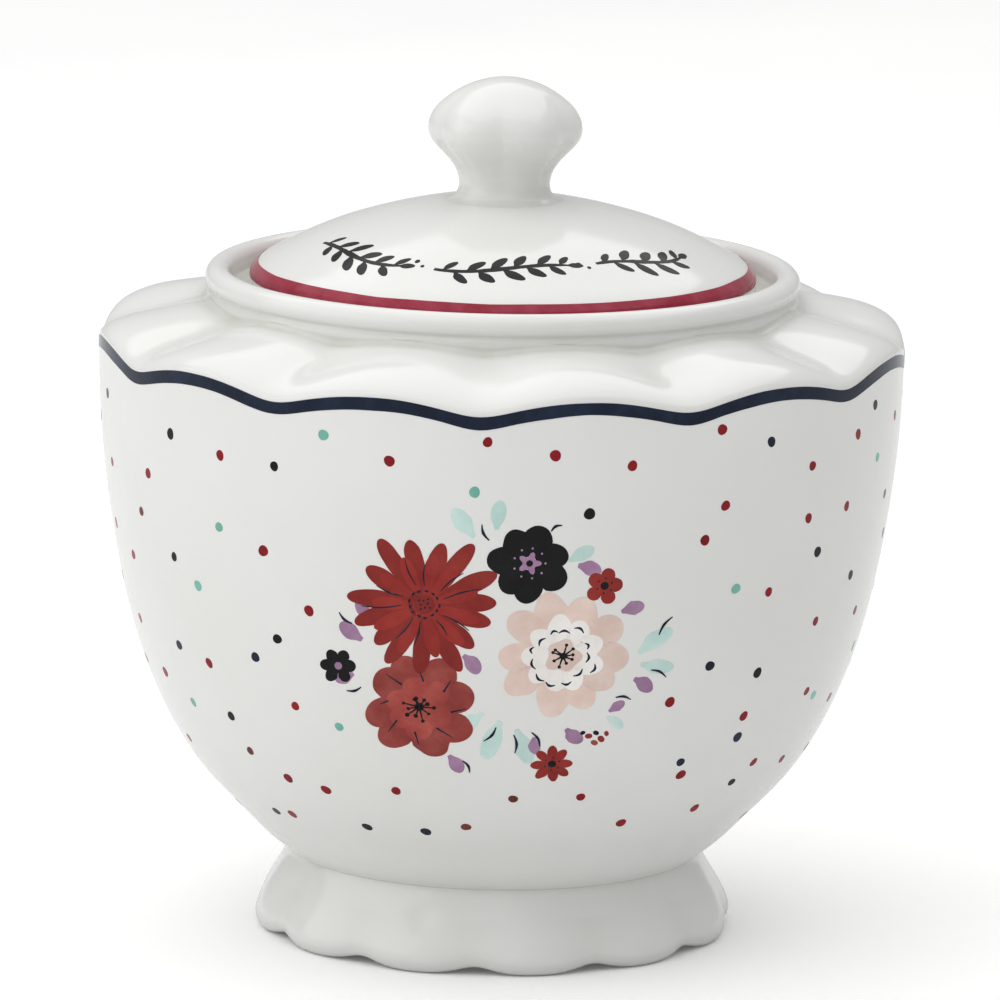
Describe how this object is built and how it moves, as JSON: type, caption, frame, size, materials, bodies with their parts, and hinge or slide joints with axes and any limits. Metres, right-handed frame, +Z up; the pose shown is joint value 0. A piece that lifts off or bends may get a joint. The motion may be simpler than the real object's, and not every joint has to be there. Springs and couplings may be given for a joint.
{
  "type": "sugar bowl",
  "caption": "Round footed ceramic sugar bowl with a lobed shoulder, rolled collar and a domed lift-off lid with a mushroom knob.",
  "frame": {"origin": "centre of the foot on the surface the bowl stands on", "axes": "+Z up along the bowl's axis, -Y towards the decorated front"},
  "size_m": [0.1208, 0.1208, 0.1292],
  "materials": {
    "glaze": "glossy white glaze"
  },
  "bodies": {
    "bowl": {"bowl_body": "glaze", "foot": "glaze"},
    "lid": {"lid": "glaze", "lid_knob": "glaze"}
  },
  "joints": [
    {"name": "lid_lift", "type": "slide", "parent": "bowl", "child": "lid", "axis": [0, 0, 1], "range_m": [0, 0.03]}
  ]
}
